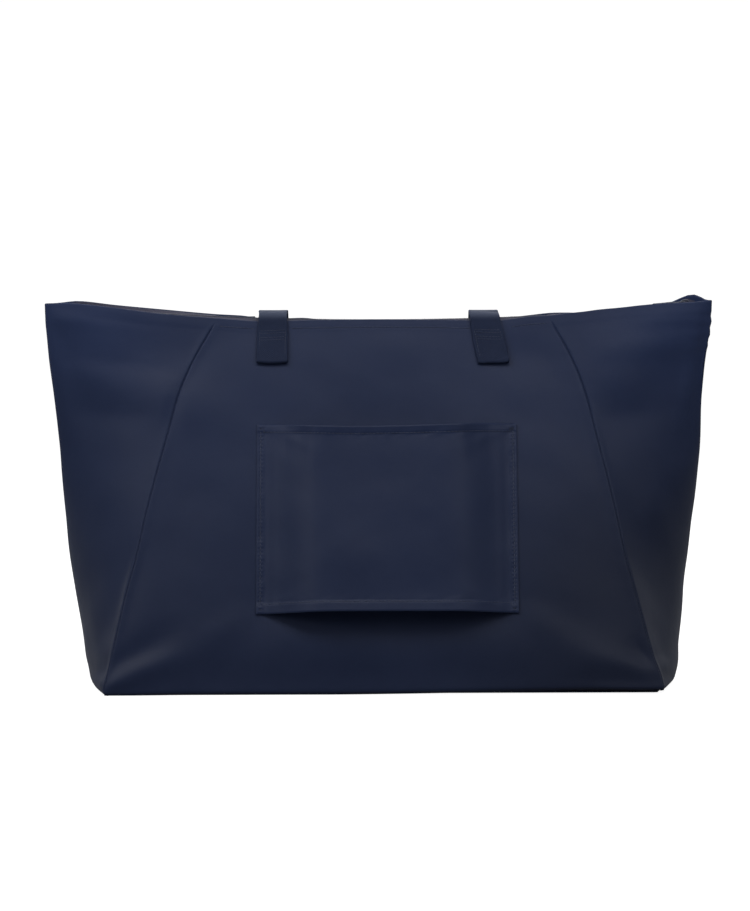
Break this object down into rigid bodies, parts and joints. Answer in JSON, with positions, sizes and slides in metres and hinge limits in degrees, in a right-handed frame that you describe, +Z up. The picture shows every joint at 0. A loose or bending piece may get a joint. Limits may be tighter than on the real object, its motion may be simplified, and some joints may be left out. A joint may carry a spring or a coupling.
{
  "type": "foldable tote bag",
  "caption": "Soft trapeze tote that folds flat, with a curved top zip, webbing handles, an inner zip pocket and a sleeve that slides over a trolley handle.",
  "frame": {"origin": "on the ground under the middle of the bag: centre of the base panel's underside", "axes": "+Z up, +X to the right along the mouth when facing the trolley-sleeve side, +Y from the sleeve side towards the plain side"},
  "size_m": [0.545, 0.2328, 0.3099],
  "materials": {
    "cloth": "smooth coated navy cloth with a soft sheen",
    "webbing": "ribbed navy webbing",
    "binding": "grosgrain binding tape",
    "zip_tape": "knitted zip tape",
    "zip_coil": "moulded coil",
    "zip_metal": "dark enamelled die-cast metal"
  },
  "bodies": {
    "bag": {"back_panel": "cloth", "side_panel_left": "cloth", "side_panel_right": "cloth", "bottom_panel": "cloth", "trolley_sleeve": "cloth", "back_tab_left": "webbing", "back_tab_right": "webbing", "zip_tape_back": "zip_tape", "zip_tape_front": "zip_tape", "zip_coil_back": "zip_coil", "zip_coil_front": "zip_coil", "zip_end_tab_left": "cloth", "zip_end_tab_right": "cloth", "binding_back_left": "binding", "binding_back_right": "binding", "binding_base_back": "binding", "binding_base_left": "binding", "binding_base_right": "binding", "pocket_panel": "cloth", "pocket_tape_lower": "zip_tape", "pocket_tape_upper": "zip_tape", "pocket_coil_lower": "zip_coil", "pocket_coil_upper": "zip_coil"},
    "front": {"front_panel": "cloth", "front_tab_left": "webbing", "front_tab_right": "webbing", "binding_front_left": "binding", "binding_front_right": "binding", "binding_base_front": "binding"},
    "back_strap": {"back_strap_fold_left": "webbing", "back_strap_fold_right": "webbing"},
    "back_loop": {"back_handle_loop": "webbing"},
    "front_strap": {"front_strap_fold_left": "webbing", "front_strap_fold_right": "webbing"},
    "front_loop": {"front_handle_loop": "webbing"},
    "slider": {"zip_slider": "zip_metal"},
    "pull": {"zip_pull": "zip_metal"},
    "pocket_slide": {"pocket_slider": "zip_metal"},
    "pocket_tag": {"pocket_pull": "zip_metal"}
  },
  "joints": [
    {"name": "fold_flat", "type": "hinge", "parent": "bag", "child": "front", "pos_m": [0, 0.01, 0.295], "axis": [1, 0, 0], "range_deg": [-34, 0], "deforming": ["side_panel_left", "side_panel_right", "bottom_panel", "binding_base_left", "binding_base_right"]},
    {"name": "back_handle_lift", "type": "hinge", "parent": "bag", "child": "back_strap", "pos_m": [0, -0.01047, 0.303], "axis": [1, 0, 0], "range_deg": [0, 236]},
    {"name": "back_handle_bend", "type": "hinge", "parent": "back_strap", "child": "back_loop", "pos_m": [0, 0.00993, 0.303], "axis": [1, 0, 0], "range_deg": [0, 72]},
    {"name": "front_handle_lift", "type": "hinge", "parent": "front", "child": "front_strap", "pos_m": [0, 0.01047, 0.303], "axis": [1, 0, 0], "range_deg": [0, 249]},
    {"name": "front_handle_bend", "type": "hinge", "parent": "front_strap", "child": "front_loop", "pos_m": [0, 0.01773, 0.28394], "axis": [1, 0, 0], "range_deg": [0, 55]},
    {"name": "zip_travel", "type": "hinge", "parent": "bag", "child": "slider", "pos_m": [0, 0, 3.2715], "axis": [0, 1, 0], "range_deg": [0, 9.2]},
    {"name": "zip_pull_swing", "type": "hinge", "parent": "slider", "child": "pull", "pos_m": [0.24666, 0, 0.30734], "axis": [0, 1, 0], "range_deg": [0, 140]},
    {"name": "pocket_zip_travel", "type": "slide", "parent": "bag", "child": "pocket_slide", "axis": [-1, 0, 0], "range_m": [0, 0.168]},
    {"name": "pocket_pull_swing", "type": "hinge", "parent": "pocket_slide", "child": "pocket_tag", "pos_m": [0.084, -0.02258, 0.2256], "axis": [0, -0.3065, -0.9519], "range_deg": [0, 168]}
  ]
}
